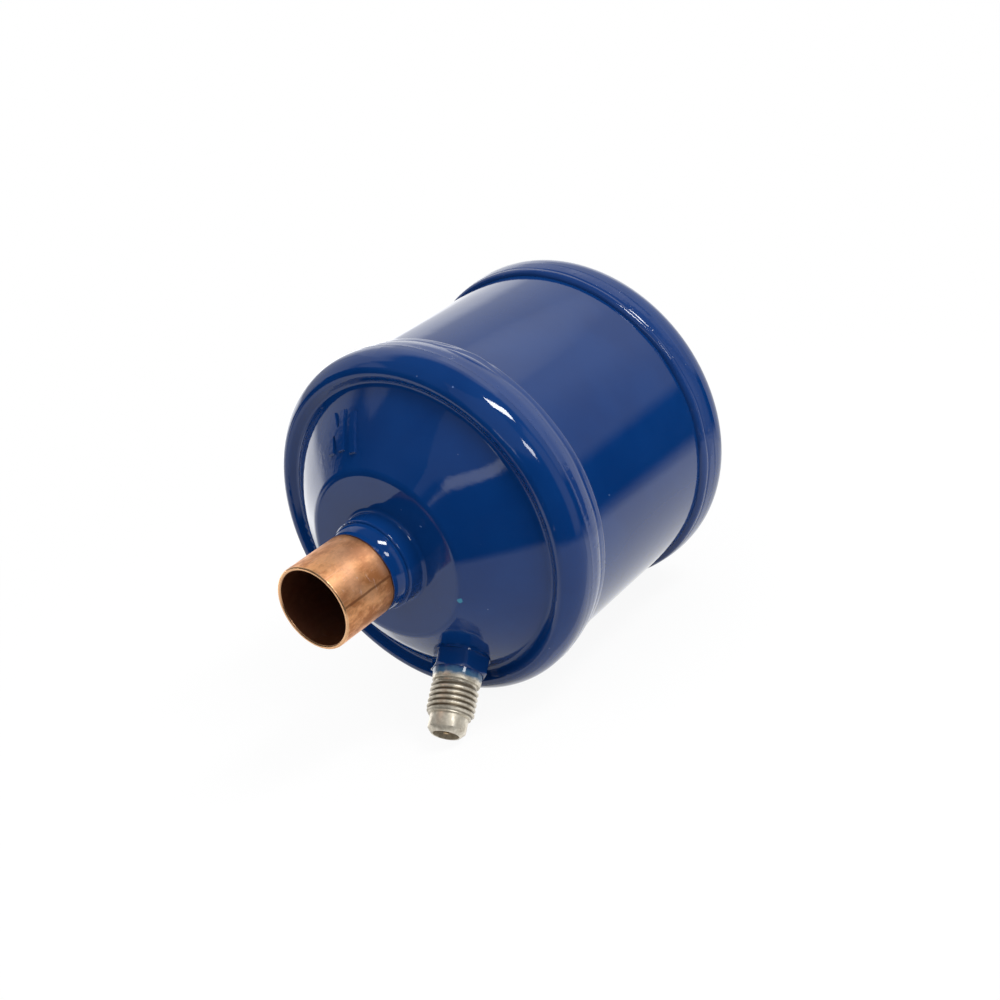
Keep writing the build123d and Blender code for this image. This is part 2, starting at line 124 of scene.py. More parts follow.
# ---------------------------------------------------------------- mesh helpers
def make_piece(bm, name, material, body, replaced, smooth_angle):
    """Turn a bmesh in the row frame into a finished piece."""
    bmesh.ops.remove_doubles(bm, verts=bm.verts, dist=1e-7)
    bmesh.ops.recalc_face_normals(bm, faces=bm.faces)
    mesh = bpy.data.meshes.new(name)
    bm.to_mesh(mesh)
    bm.free()
    piece = bpy.data.objects.new(name, mesh)
    bpy.context.scene.collection.objects.link(piece)
    mesh.materials.append(material)
    mesh.polygons.foreach_set("use_smooth", [True] * len(mesh.polygons))
    mesh.set_sharp_from_angle(angle=math.radians(smooth_angle))
    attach(piece, body)
    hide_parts(*replaced)


def lathe(bm, outline, steps):
    """Spin a closed outline of (radius, height) points about Z."""
    verts = [bm.verts.new((r, 0, z)) for r, z in outline]
    edges = [bm.edges.new(pair) for pair in zip(verts, verts[1:] + verts[:1])]
    bmesh.ops.spin(
        bm, geom=verts + edges, cent=(0, 0, 0), axis=(0, 0, 1),
        angle=2 * math.pi, steps=steps, use_merge=True,
    )


def pull_to_radius(vert, radius):
    """Move a vertex straight towards Z or away from it, to this radius."""
    scale = radius / math.hypot(vert.co.x, vert.co.y)
    vert.co.x *= scale
    vert.co.y *= scale


def smoothstep(value):
    value = min(1.0, max(0.0, value))
    return value * value * (3 - 2 * value)


# ---------------------------------------------------------------- welds
def make_weld(name, side, length, toe_size, overlap_roll, material, node):
    """Wide bead that slopes from the edge of a cap's skirt down to the shell.

    side is -1 for the inlet's end. length runs along the shell, and toe_size is
    the length and height of the rounded toe. overlap_roll is where the bead runs
    over its own start, from straight up towards +Y.
    """
    toe = skirt_edge - length
    top = skirt_edge + weld_lap
    toe_length, toe_height = toe_size
    crest = (toe + toe_length, shell_r + toe_height)
    slope_end = rim_r + 0.01 * MM
    sunk = 0.1 * MM
    outline = [(shell_r - weld_root_depth, skirt_edge - weld_root_reach), (shell_r - sunk, toe)]
    toe_steps = 6
    for i in range(toe_steps + 1):
        turn = i / toe_steps * math.pi / 2
        outline.append((
            shell_r + toe_height * math.sin(turn),
            toe + toe_length * (1 - math.cos(turn)),
        ))
    slope_steps = 22
    for i in range(1, slope_steps + 1):
        t = i / slope_steps
        outline.append((
            crest[1] + (slope_end - crest[1]) * t,
            crest[0] + (top - crest[0]) * t,
        ))
    outline.append((rim_r - sunk, top))
    bm = bmesh.new()
    lathe(bm, outline, steps=720)
    for vert in bm.verts:
        radius = math.hypot(vert.co.x, vert.co.y)
        roll = math.atan2(vert.co.y, vert.co.x)
        along = (vert.co.z - toe) / (top - toe)
        outer = smoothstep((radius - shell_r) / (0.5 * MM)) * smoothstep((1 - along) * 12)
        # The torch leaves faint ripples, and the bead wanders a little.
        ripple = math.sin(roll * 170 + 5 * along + 1.2 * math.sin(roll * 9))
        wander = math.sin(roll * 5 + side) + 0.6 * math.sin(roll * 13 + 2)
        # Two runs lie side by side, with a shallow furrow between them.
        furrow = 0.34 + 0.05 * math.sin(roll * 3 + 1) + 0.02 * math.sin(roll * 17)
        dip = math.exp(-(((along - furrow) / 0.055) ** 2))
        swell = math.exp(-(((along - 0.66) / 0.2) ** 2)) * (length / inlet_weld_length) ** 4
        lift = outer * (0.004 * ripple + 0.03 * wander + 0.16 * swell - 0.12 * dip) * MM
        # The last stretch lies over the first, and is raised and wider there.
        away = (roll - overlap_roll + math.pi) % (2 * math.pi) - math.pi
        lap = smoothstep(1 - abs(away) / math.radians(17))
        tongue = smoothstep(1 - abs(along - 0.3) / (0.30 * lap + 0.001)) if lap > 0 else 0.0
        lift += outer * lap * (0.28 * smoothstep(tongue * 3) - 0.05) * MM
        vert.co.x += math.cos(roll) * lift
        vert.co.y += math.sin(roll) * lift
        low = smoothstep(1 - along * 4)
        vert.co.z += low * (0.10 * wander - 0.5 * lap) * MM
    # The spin's Z is the flow's line, and its X is straight up.
    to_row = Matrix(((0, 0, side, 0), (0, 1, 0, 0), (1, 0, 0, 0), (0, 0, 0, 1)))
    bm.transform(to_row)
    make_piece(bm, name, material, "drier", [node], 60)


# ---------------------------------------------------------------- access valve
def hexagon(bm):
    """Hexagon of the valve, with its top corners cut to a cone."""
    corner = hex_across / math.sqrt(3)
    base = bmesh.ops.create_circle(bm, segments=6, radius=corner, cap_ends=False)
    edges = list({e for v in base["verts"] for e in v.link_edges})
    bmesh.ops.subdivide_edges(bm, edges=edges, cuts=15)
    ring = bm.edges[:]
    levels = [hex_top - hex_chamfer * 1.2]
    levels += [hex_top - hex_chamfer * (1 - i / 6) for i in range(7)]
    below = hex_foot
    bmesh.ops.translate(bm, verts=bm.verts, vec=(0, 0, hex_foot))
    for level in levels:
        out = bmesh.ops.extrude_edge_only(bm, edges=ring)["geom"]
        rise = [v for v in out if isinstance(v, bmesh.types.BMVert)]
        ring = [e for e in out if isinstance(e, bmesh.types.BMEdge)]
        bmesh.ops.translate(bm, verts=rise, vec=(0, 0, level - below))
        below = level
    for vert in bm.verts:
        cone = (corner - hex_across / 2) * (hex_top - vert.co.z) / hex_chamfer
        limit = min(hex_across / 2 + cone, corner - hex_corner_round)
        if math.hypot(vert.co.x, vert.co.y) > limit:
            pull_to_radius(vert, limit)
    # Its hole lies in the wall of the stem, so that the passage stays open.
    rims = [e for e in bm.edges if e.is_boundary]
    out = bmesh.ops.extrude_edge_only(bm, edges=rims)["geom"]
    for vert in out:
        if isinstance(vert, bmesh.types.BMVert):
            pull_to_radius(vert, hex_hole_r)
    bmesh.ops.bridge_loops(bm, edges=[e for e in out if isinstance(e, bmesh.types.BMEdge)])
    turn = Matrix.Rotation(hex_turn - math.pi / 2, 3, "Z")
    bmesh.ops.rotate(bm, verts=bm.verts, cent=(0, 0, 0), matrix=turn)


def valve_stem(bm):
    """What is turned on the valve, from its spigot to its nose, but not the thread."""
    lathe(bm, [
        (passage_r, spigot_foot), (spigot_r, spigot_foot),
        (spigot_r, hex_foot), (spigot_r, stem_collar_foot),
        (stem_collar_r - 0.07 * MM, stem_collar_foot),
        (stem_collar_r, stem_collar_foot + 0.12 * MM),
        (stem_collar_r - 0.33 * MM, undercut_start - 0.12 * MM),
        (stem_collar_r - 0.45 * MM, undercut_start), (undercut_r, undercut_start),
        (undercut_r - 0.05 * MM, undercut_start + 0.1 * MM),
        (thread_core_r, thread_start), (thread_core_r, thread_end - 0.3 * MM),
        (thread_core_r - 0.03 * MM, thread_end), (nose_r, thread_end + 0.08 * MM),
        (nose_r - 0.03 * MM, nose_end - 1.2 * MM), (nose_r - 0.09 * MM, nose_end - 1.02 * MM),
        (nose_r - 0.99 * MM, nose_end - 0.07 * MM), (nose_r - 1.09 * MM, nose_end),
        (mouth_r + 0.07 * MM, nose_end), (mouth_r, nose_end - 0.07 * MM),
        (mouth_r, mouth_foot), (core_seat_r, mouth_foot),
        (core_seat_r, core_seat_foot), (passage_r, taper_foot),
    ], steps=96)


def thread_helix(bm):
    """60 degree external thread: one pitch of its outline, spun and advanced."""
    crest = 0.27 * MM
    root = 0.11 * MM
    flank = (thread_pitch - crest - root) / 2
    outline = [
        (thread_minor, 0), (thread_minor, root), (thread_major, root + flank),
        (thread_major, root + flank + crest), (thread_minor, thread_pitch),
    ]
    steps = 96
    turns = 7
    low = thread_start - 0.6 * thread_pitch  # the helix starts and ends beyond its cut ends
    verts = [bm.verts.new((r, 0, low + z)) for r, z in outline]
    edges = [bm.edges.new(pair) for pair in zip(verts, verts[1:])]
    bmesh.ops.spin(
        bm, geom=verts + edges, cent=(0, 0, 0), axis=(0, 0, 1), angle=2 * math.pi * turns,
        steps=steps * turns, dvec=(0, 0, thread_pitch / steps),
    )
    bmesh.ops.remove_doubles(bm, verts=bm.verts, dist=2e-6)
    for plane, keep in ((thread_start, 1), (thread_end, -1)):
        bmesh.ops.bisect_plane(
            bm, geom=bm.verts[:] + bm.edges[:] + bm.faces[:], dist=1e-7,
            plane_co=(0, 0, plane), plane_no=(0, 0, keep), clear_inner=True,
        )
    for vert in bm.verts:
        from_ends = min(vert.co.z - thread_start + 0.25 * MM, thread_end - vert.co.z)
        limit = max(thread_major - max(0.0, thread_lead_in - from_ends), thread_minor)
        if math.hypot(vert.co.x, vert.co.y) > limit:
            pull_to_radius(vert, limit)
    # Each cut end closes down onto the stem.
    for plane in (thread_start, thread_end):
        rim = [
            e for e in bm.edges
            if e.is_boundary and all(abs(v.co.z - plane) < 1e-6 for v in e.verts)
        ]
        out = bmesh.ops.extrude_edge_only(bm, edges=rim)["geom"]
        for vert in out:
            if isinstance(vert, bmesh.types.BMVert):
                pull_to_radius(vert, thread_core_r - 0.15 * MM)


def make_valve(hex_material, stem_material):
    for name, build, material, angle in (
        ("valve_hexagon", hexagon, hex_material, 25),
        ("valve_stem", valve_stem, stem_material, 30),
        ("valve_thread", thread_helix, stem_material, 28),
    ):
        bm = bmesh.new()
        build(bm)
        bm.transform(VALVE)
        make_piece(bm, name, material, "drier", ["valve_body"], angle)


def make_valve_spring(material):
    """The spring as a fixed copy of its shape on the drier, in its own material."""
    shape = frame["nodes"]["valve_spring"]
    coil = bpy.data.objects.new("valve_coil", shape.data.copy())
    bpy.context.scene.collection.objects.link(coil)
    coil.matrix_world = shape.matrix_world.copy()
    coil.data.materials.clear()
    coil.data.materials.append(material)
    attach(coil, "drier")
    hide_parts("valve_spring")
    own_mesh(coil)


# ---------------------------------------------------------------- node helpers
def node(tree, kind, options=None, **sockets):
    """Add a shader node. Values and links are given by input name or number (_0, _1)."""
    made = tree.nodes.new("ShaderNode" + kind)
    for key, value in (options or {}).items():
        setattr(made, key, value)
    for key, value in sockets.items():
        plug = made.inputs[int(key[1:]) if key.startswith("_") else key.replace("_", " ")]
        if isinstance(value, bpy.types.NodeSocket):
            tree.links.new(value, plug)
        else:
            plug.default_value = value
    return made


def maths(tree, operation, a, b=0.0):
    return node(tree, "Math", {"operation": operation}, _0=a, _1=b).outputs[0]


def times(tree, a, b):
    return maths(tree, "MULTIPLY", a, b)


def plus(tree, a, b):
    return maths(tree, "ADD", a, b)


def minus(tree, a, b):
    return maths(tree, "SUBTRACT", a, b)


def vector_maths(tree, operation, a, b=(0, 0, 0)):
    return node(tree, "VectorMath", {"operation": operation}, _0=a, _1=b).outputs


def blend_colour(tree, amount, a, b):
    return node(tree, "Mix", {"data_type": "RGBA"}, _0=amount, _6=a, _7=b).outputs[2]


def blend_value(tree, amount, a, b):
    return node(tree, "Mix", {"data_type": "FLOAT"}, _0=amount, _2=a, _3=b).outputs[0]


def step(tree, value, low, high, to_low=0.0, to_high=1.0):
    """Smooth ramp of value, from to_low at low to to_high at high."""
    options = {"interpolation_type": "SMOOTHSTEP"}
    made = node(
        tree, "MapRange", options, Value=value,
        From_Min=low, From_Max=high, To_Min=to_low, To_Max=to_high,
    )
    return made.outputs[0]


def noise(tree, vector, scale, detail=2.0, roughness=0.5):
    made = node(tree, "TexNoise", Vector=vector, Scale=scale, Detail=detail, Roughness=roughness)
    return made.outputs["Fac"]


def stretch(tree, vector, scale):
    return node(tree, "Mapping", Vector=vector, Scale=scale).outputs[0]


def colour(r, g, b):
    return (r, g, b, 1.0)


def new_group(name, inputs, outputs):
    """Node group with its sockets. Returns the group and its input and output nodes."""
    group = bpy.data.node_groups.new(name, "ShaderNodeTree")
    for label, kind, value in inputs:
        socket = group.interface.new_socket(label, in_out="INPUT", socket_type="NodeSocket" + kind)
        if value is not None:
            socket.default_value = value
    for label, kind in outputs:
        group.interface.new_socket(label, in_out="OUTPUT", socket_type="NodeSocket" + kind)
    return group, group.nodes.new("NodeGroupInput"), group.nodes.new("NodeGroupOutput")


def place_group(tree, group, **sockets):
    return node(tree, "Group", {"node_tree": group}, **sockets)


# ---------------------------------------------------------------- shared effects
def powder_coat_group():
    """Baked blue coat: slow shifts of tone, orange peel and a few trapped specks."""
    group, source, sink = new_group(
        "powder_coat",
        [("Vector", "Vector", None), ("Peel", "Float", 1.0), ("Specks", "Float", 1.0)],
        [("Color", "Color"), ("Roughness", "Float"), ("Height", "Float")],
    )
    place = source.outputs["Vector"]
    slow = noise(group, place, 55, 3)
    tone = blend_colour(
        group, step(group, slow, 0.3, 0.7),
        colour(0.0016, 0.0230, 0.112), colour(0.0026, 0.0285, 0.130),
    )
    cells = node(group, "TexVoronoi", {"feature": "F1"}, Vector=place, Scale=260.0, Randomness=1.0)
    chosen = node(group, "SeparateColor", _0=cells.outputs["Color"]).outputs[0]
    rare = step(group, chosen, 0.90, 0.91)
    dot = step(group, cells.outputs["Distance"], 0.03, 0.055, 1.0, 0.0)
    speck = times(group, times(group, rare, dot), source.outputs["Specks"])
    tone = blend_colour(group, times(group, speck, 0.5), tone, colour(0.12, 0.17, 0.3))
    peel = noise(group, place, 420, 2, 0.55)
    fine = noise(group, place, 1500, 2, 0.5)
    waves = noise(group, place, 110, 1, 0.4)
    height = plus(group, times(group, peel, 0.6), times(group, waves, 1.6))
    height = plus(group, height, times(group, fine, 0.08))
    height = times(group, height, source.outputs["Peel"])
    height = plus(group, height, times(group, speck, 0.5))
    rough = step(group, noise(group, place, 260, 4, 0.6), 0.35, 0.75, 0.045, 0.085)
    group.links.new(tone, sink.inputs["Color"])
    group.links.new(rough, sink.inputs["Roughness"])
    group.links.new(height, sink.inputs["Height"])
    return group


def scuff_group():
    """Handling marks on bare metal: fine crossed scratches and dull blotches."""
    group, source, sink = new_group(
        "handling_scuffs",
        [("Vector", "Vector", None), ("Amount", "Float", 1.0)],
        [("Scratch", "Float"), ("Blotch", "Float")],
    )
    place = source.outputs["Vector"]
    total = None
    for scale in ((60, 1400, 1400), (900, 120, 900), (1300, 1300, 150)):
        streak = noise(group, stretch(group, place, scale), 1.0, 2, 0.6)
        line = step(group, streak, 0.66, 0.74)
        total = line if total is None else maths(group, "MAXIMUM", total, line)
    group.links.new(times(group, total, source.outputs["Amount"]), sink.inputs["Scratch"])
    blotch = step(group, noise(group, place, 190, 5, 0.65), 0.42, 0.66)
    group.links.new(times(group, blotch, source.outputs["Amount"]), sink.inputs["Blotch"])
    return group


def paint_marks_group():
    """Small accidents in the coat: chips, a dried drip and a rough patch by the mark."""
    group, source, sink = new_group(
        "paint_marks", [("Vector", "Vector", None), ("Color", "Color", None)],
        [("Color", "Color"), ("Height", "Float")],
    )
    wander = node(
        group, "TexNoise", Vector=source.outputs["Vector"], Scale=900.0, Detail=2.0,
    ).outputs["Color"]
    shift = vector_maths(group, "SUBTRACT", wander, (0.5, 0.5, 0.5))[0]
    shift = vector_maths(group, "MULTIPLY", shift, (0.9 * MM,) * 3)[0]
    place = vector_maths(group, "ADD", source.outputs["Vector"], shift)[0]
    tone = source.outputs["Color"]
    for centre, size, tint in (
        ((-45.9, -18.6, -9.6), 0.75, colour(0.03, 0.23, 0.34)),
        ((3.7, -34.4, -23.0), 0.75, colour(0.015, 0.03, 0.07)),
        ((-15.2, -41.3, 2.5), 0.26, colour(0.10, 0.16, 0.30)),
        ((-33.7, -21.6, 35.6), 0.3, colour(0.10, 0.17, 0.36)),
        ((-46.2, -13.5, 8.2), 0.26, colour(0.10, 0.17, 0.36)),
    ):
        middle = tuple(value * MM for value in centre)
        apart = vector_maths(group, "DISTANCE", place, middle)["Value"]
        spot = step(group, apart, size * 0.7 * MM, size * MM, 0.7, 0.0)
        tone = blend_colour(group, spot, tone, tint)
    near = vector_maths(group, "DISTANCE", place, letters_middle)["Value"]
    rough = step(group, near, 5.5 * MM, 9.5 * MM, 1.0, 0.0)
    lumps = noise(group, source.outputs["Vector"], 620, 3, 0.6)
    group.links.new(tone, sink.inputs["Color"])
    group.links.new(times(group, rough, lumps), sink.inputs["Height"])
    return group


def flow_place_group():
    """Distance from the middle along the flow, and from the flow's line."""
    group, source, sink = new_group(
        "flow_place", [("Vector", "Vector", None)], [("Along", "Float"), ("Radius", "Float")],
    )
    split = node(group, "SeparateXYZ", Vector=source.outputs["Vector"]).outputs
    group.links.new(maths(group, "ABSOLUTE", split[0]), sink.inputs["Along"])
    across = node(group, "CombineXYZ", X=0.0, Y=split[1], Z=split[2]).outputs[0]
    group.links.new(vector_maths(group, "LENGTH", across)["Value"], sink.inputs["Radius"])
    return group


def valve_place_group():
    """Distance along the valve from the dome, and from its own line."""
    group, source, sink = new_group(
        "valve_place", [("Vector", "Vector", None)], [("Along", "Float"), ("Radius", "Float")],
    )
    from_foot = vector_maths(group, "SUBTRACT", source.outputs["Vector"], VALVE.translation)[0]
    along = vector_maths(group, "DOT_PRODUCT", from_foot, VALVE_OUT)["Value"]
    across = vector_maths(group, "CROSS_PRODUCT", from_foot, VALVE_OUT)[0]
    group.links.new(along, sink.inputs["Along"])
    group.links.new(vector_maths(group, "LENGTH", across)["Value"], sink.inputs["Radius"])
    return group


# ---------------------------------------------------------------- materials
def new_material(name, **settings):
    """Material with one Principled shader: it, its tree, the shader and Object coordinates."""
    made = bpy.data.materials.new(name)
    made.use_nodes = True
    tree = made.node_tree
    tree.nodes.clear()
    shader = node(tree, "BsdfPrincipled", **settings)
    out = tree.nodes.new("ShaderNodeOutputMaterial")
    tree.links.new(shader.outputs[0], out.inputs["Surface"])
    place = tree.nodes.new("ShaderNodeTexCoord").outputs["Object"]
    return made, tree, shader, place


def finish_material(tree, shader, base, rough=None, metal=None, *, height, distance):
    """Wire a material's results into its shader. Height is in shares of distance."""
    for plug, value in (("Base Color", base), ("Roughness", rough), ("Metallic", metal)):
        if value is not None:
            tree.links.new(value, shader.inputs[plug])
    bump = node(tree, "Bump", Strength=1.0, Distance=distance, Height=height)
    tree.links.new(bump.outputs[0], shader.inputs["Normal"])


def painted_steel(name, peel=1.0, specks=1.0):
    made, tree, shader, place = new_material(name, IOR=1.5)
    coat = place_group(tree, POWDER_COAT, Vector=place, Peel=peel, Specks=specks).outputs
    marks = place_group(tree, PAINT_MARKS, Vector=place, Color=coat["Color"]).outputs
    height = plus(tree, coat["Height"], times(tree, marks["Height"], 4.0))
    finish_material(
        tree, shader, marks["Color"], coat["Roughness"], height=height, distance=0.00002,
    )
    return made


def painted_weld(name):
    made, tree, shader, place = new_material(name, IOR=1.5)
    coat = place_group(tree, POWDER_COAT, Vector=place, Peel=1.4, Specks=1.0).outputs
    spatter = step(tree, noise(tree, place, 700, 3, 0.6), 0.62, 0.72)
    height = plus(tree, coat["Height"], times(tree, spatter, 1.2))
    pale = blend_colour(tree, 0.22, coat["Color"], colour(0.03, 0.06, 0.19))
    finish_material(tree, shader, pale, coat["Roughness"], height=height, distance=0.00003)
    return made


def copper_material():
    made, tree, shader, place = new_material("drawn_copper", IOR=1.5)
    where = place_group(tree, FLOW_PLACE, Vector=place).outputs
    along, radius = where["Along"], where["Radius"]
    scuffs = place_group(tree, SCUFFS, Vector=place, Amount=1.0).outputs
    coat = place_group(tree, POWDER_COAT, Vector=place, Peel=1.6, Specks=0.0).outputs

    mottle = noise(tree, stretch(tree, place, (0.6, 1, 1)), 260, 7, 0.68)
    bare = blend_colour(
        tree, step(tree, mottle, 0.40, 0.60), colour(0.60, 0.24, 0.09), colour(0.96, 0.475, 0.21),
    )
    pink = noise(tree, place, 90, 2, 0.5)
    bare = blend_colour(tree, step(tree, pink, 0.45, 0.7, 0, 0.5), bare, colour(0.95, 0.56, 0.36))
    bare = blend_colour(tree, times(tree, scuffs["Blotch"], 0.38), bare, colour(0.42, 0.17, 0.08))
    bare = blend_colour(tree, times(tree, scuffs["Scratch"], 0.5), bare, colour(0.95, 0.66, 0.50))

    # Heat from brazing browns the copper next to the paint.
    ragged = times(tree, minus(tree, noise(tree, place, 330, 4, 0.6), 0.5), 0.0006)
    edge = plus(tree, along, ragged)
    heat = step(tree, edge, paint_end + 0.1 * MM, paint_end + 2.2 * MM, 0.62, 0.0)
    bare = blend_colour(tree, heat, bare, colour(0.19, 0.062, 0.024))
    line = step(tree, edge, paint_end + 0.25 * MM, paint_end + 0.5 * MM, 0.9, 0.0)
    bare = blend_colour(tree, line, bare, colour(0.05, 0.018, 0.008))
    # A draw line runs along one side.
    split = node(tree, "SeparateXYZ", Vector=place).outputs
    off_line = minus(tree, plus(tree, split[2], times(tree, ragged, 0.6)), 0.95 * MM)
    draw = step(tree, maths(tree, "ABSOLUTE", off_line), 0.12 * MM, 0.42 * MM, 0.75, 0.0)
    draw = times(tree, draw, step(tree, split[1], -9.0 * MM, -8.0 * MM, 1.0, 0.0))
    bare = blend_colour(tree, draw, bare, colour(0.24, 0.085, 0.035))
    # The bore is dull and brown, and the rolled mouth is rubbed bright.
    inside = step(tree, radius, tube_r - 0.75 * MM, tube_r - 0.55 * MM, 1.0, 0.0)
    bare = blend_colour(tree, times(tree, inside, 0.85), bare, colour(0.16, 0.038, 0.018))
    lip = step(tree, along, mouth_end - 0.45 * MM, mouth_end - 0.1 * MM)
    bare = blend_colour(tree, times(tree, lip, 0.7), bare, colour(0.95, 0.58, 0.32))

    painted = step(tree, edge, paint_end - 0.12 * MM, paint_end + 0.12 * MM, 1.0, 0.0)
    base = blend_colour(tree, painted, bare, coat["Color"])
    dull = step(tree, mottle, 0.3, 0.7, 0.52, 0.38)
    dull = blend_value(tree, heat, dull, 0.5)
    dull = blend_value(tree, times(tree, lip, 0.8), dull, 0.16)
    rough = blend_value(tree, painted, dull, coat["Roughness"])
    metal = times(tree, minus(tree, 1.0, painted), 0.9)
    drawn = noise(tree, stretch(tree, place, (35, 1500, 1500)), 1.0, 3, 0.6)
    height = plus(tree, times(tree, drawn, 0.25), times(tree, mottle, 0.5))
    height = minus(tree, height, times(tree, scuffs["Scratch"], 0.3))
    height = blend_value(tree, painted, height, plus(tree, coat["Height"], 2.0))
    finish_material(tree, shader, base, rough, metal, height=height, distance=0.00004)
    return made


def nickel_material():
    made, tree, shader, place = new_material("plated_valve", IOR=1.5)
    where = place_group(tree, VALVE_PLACE, Vector=place).outputs
    along = where["Along"]
    scuffs = place_group(tree, SCUFFS, Vector=place, Amount=0.8).outputs
    coat = place_group(tree, POWDER_COAT, Vector=place, Peel=1.0, Specks=0.0).outputs
    grain = noise(tree, place, 900, 4, 0.6)
    plate = blend_colour(
        tree, step(tree, grain, 0.35, 0.7), colour(0.62, 0.565, 0.46), colour(0.86, 0.80, 0.68),
    )
    stain = step(tree, noise(tree, place, 480, 3, 0.6), 0.66, 0.76)
    plate = blend_colour(tree, times(tree, stain, 0.35), plate, colour(0.22, 0.13, 0.075))
    plate = blend_colour(tree, times(tree, scuffs["Scratch"], 0.4), plate, colour(0.85, 0.83, 0.78))
    # Painted shade: the roots of the thread are darkened, standing in for the shade that falls
    # between the crests.
    root = step(tree, where["Radius"], thread_minor + 0.08 * MM, thread_major - 0.12 * MM, 1.0, 0.0)
    threaded = times(
        tree, step(tree, along, thread_start - 0.3 * MM, thread_start),
        step(tree, along, thread_end - 0.5 * MM, thread_end - 0.1 * MM, 1.0, 0.0),
    )
    painted_root_shade = times(tree, times(tree, root, threaded), 0.88)
    plate = blend_colour(tree, painted_root_shade, plate, colour(0.13, 0.10, 0.065))
    ragged = times(tree, minus(tree, noise(tree, place, 420, 3, 0.6), 0.5), 0.0018)
    edge = plus(tree, along, ragged)
    painted = step(tree, edge, paint_stop - 0.5 * MM, paint_stop + 0.5 * MM, 1.0, 0.0)
    thin = step(tree, edge, 4.2 * MM, 5.2 * MM, 0.0, 0.8)
    film = blend_colour(tree, thin, coat["Color"], colour(0.05, 0.125, 0.215))
    base = blend_colour(tree, painted, plate, film)
    rough = blend_value(tree, painted, step(tree, grain, 0.3, 0.7, 0.42, 0.32), coat["Roughness"])
    metal = times(tree, minus(tree, 1.0, painted), 0.7)
    height = blend_value(tree, painted, times(tree, grain, 0.1), plus(tree, coat["Height"], 1.5))
    finish_material(tree, shader, base, rough, metal, height=height, distance=0.00003)
    return made


def metal_material(name, dark, light, rough_low, rough_high, grain_scale):
    """Bare metal between two tones, with a grain and faint scuffs."""
    made, tree, shader, place = new_material(name, Metallic=1.0)
    grain = noise(tree, place, grain_scale, 4, 0.6)
    scuffs = place_group(tree, SCUFFS, Vector=place, Amount=0.6).outputs
    base = blend_colour(tree, step(tree, grain, 0.3, 0.7), dark, light)
    base = blend_colour(tree, times(tree, scuffs["Blotch"], 0.25), base, dark)
    rough = step(tree, grain, 0.3, 0.7, rough_high, rough_low)
    height = minus(tree, times(tree, grain, 0.3), times(tree, scuffs["Scratch"], 0.2))
    finish_material(tree, shader, base, rough, height=height, distance=0.00003)
    return made


def dull_material(name, dark, light, rough, scale, bump_distance, fibres=(1, 1, 1)):
    """Rubber, moulded block or felt: a rough grain between two tones, with patches."""
    made, tree, shader, place = new_material(name, Roughness=rough)
    grain = noise(tree, stretch(tree, place, fibres), scale, 6.0, 0.7)
    patches = noise(tree, place, scale / 12, 2)
    base = blend_colour(tree, step(tree, grain, 0.3, 0.7), dark, light)
    base = blend_colour(tree, step(tree, patches, 0.4, 0.75, 0, 0.35), base, dark)
    finish_material(tree, shader, base, height=grain, distance=bump_distance)
    return made


POWDER_COAT = powder_coat_group()
SCUFFS = scuff_group()
PAINT_MARKS = paint_marks_group()
FLOW_PLACE = flow_place_group()
VALVE_PLACE = valve_place_group()

blue_coat = painted_steel("blue_powder_coat")
weld_coat = painted_weld("coated_weld")
braze_coat = painted_steel("coated_braze", peel=2.2, specks=0.0)
copper = copper_material()
nickel = nickel_material()
turned_brass = metal_material(
    "turned_brass", colour(0.42, 0.27, 0.10), colour(0.68, 0.48, 0.22), 0.2, 0.36, 1200,
)
spring_wire = metal_material(
    "spring_wire", colour(0.26, 0.26, 0.27), colour(0.5, 0.5, 0.52), 0.25, 0.4, 900,
)
zinc_plate = metal_material(
    "zinc_plate", colour(0.42, 0.43, 0.45), colour(0.66, 0.67, 0.70), 0.28, 0.45, 300,
)
brass_gauze = metal_material(
    "pierced_brass", colour(0.40, 0.27, 0.11), colour(0.62, 0.45, 0.2), 0.3, 0.45, 500,
)
black_rubber = dull_material(
    "black_rubber", colour(0.012, 0.012, 0.012), colour(0.03, 0.03, 0.03), 0.6, 1500, 0.00002,
)
bead_block = dull_material(
    "desiccant_block", colour(0.46, 0.40, 0.31), colour(0.74, 0.69, 0.58), 0.92, 900, 0.0003,
)
pressed_felt = dull_material(
    "pressed_felt", colour(0.60, 0.59, 0.54), colour(0.84, 0.83, 0.78), 0.95, 1.0, 0.0002,
    fibres=(1400, 500, 1400),
)

node_finishes = {
    "shell": blue_coat, "inlet_cap": blue_coat, "outlet_cap": blue_coat,
    "inlet_fitting": copper, "outlet_fitting": copper,
    "inlet_braze": braze_coat, "outlet_braze": braze_coat, "valve_braze": braze_coat,
    "valve_core_body": turned_brass, "valve_pin": turned_brass,
    "valve_core_gasket": black_rubber, "valve_seal": black_rubber,
    "desiccant_core": bead_block, "filter_sleeve": pressed_felt,
    "inlet_felt": pressed_felt, "outlet_felt": pressed_felt,
    "core_end_plate": zinc_plate, "core_holder": zinc_plate,
    "loading_spring": spring_wire, "outlet_screen": brass_gauze,
}
for name, finish in node_finishes.items():
    frame["nodes"][name].data.materials.clear()
    frame["nodes"][name].data.materials.append(finish)

make_weld(
    "inlet_weld_bead", -1, inlet_weld_length, inlet_toe, inlet_overlap, weld_coat, "inlet_weld",
)
make_weld(
    "outlet_weld_bead", 1, outlet_weld_length, outlet_toe, outlet_overlap, weld_coat, "outlet_weld",
)
make_valve(braze_coat, nickel)
make_valve_spring(spring_wire)


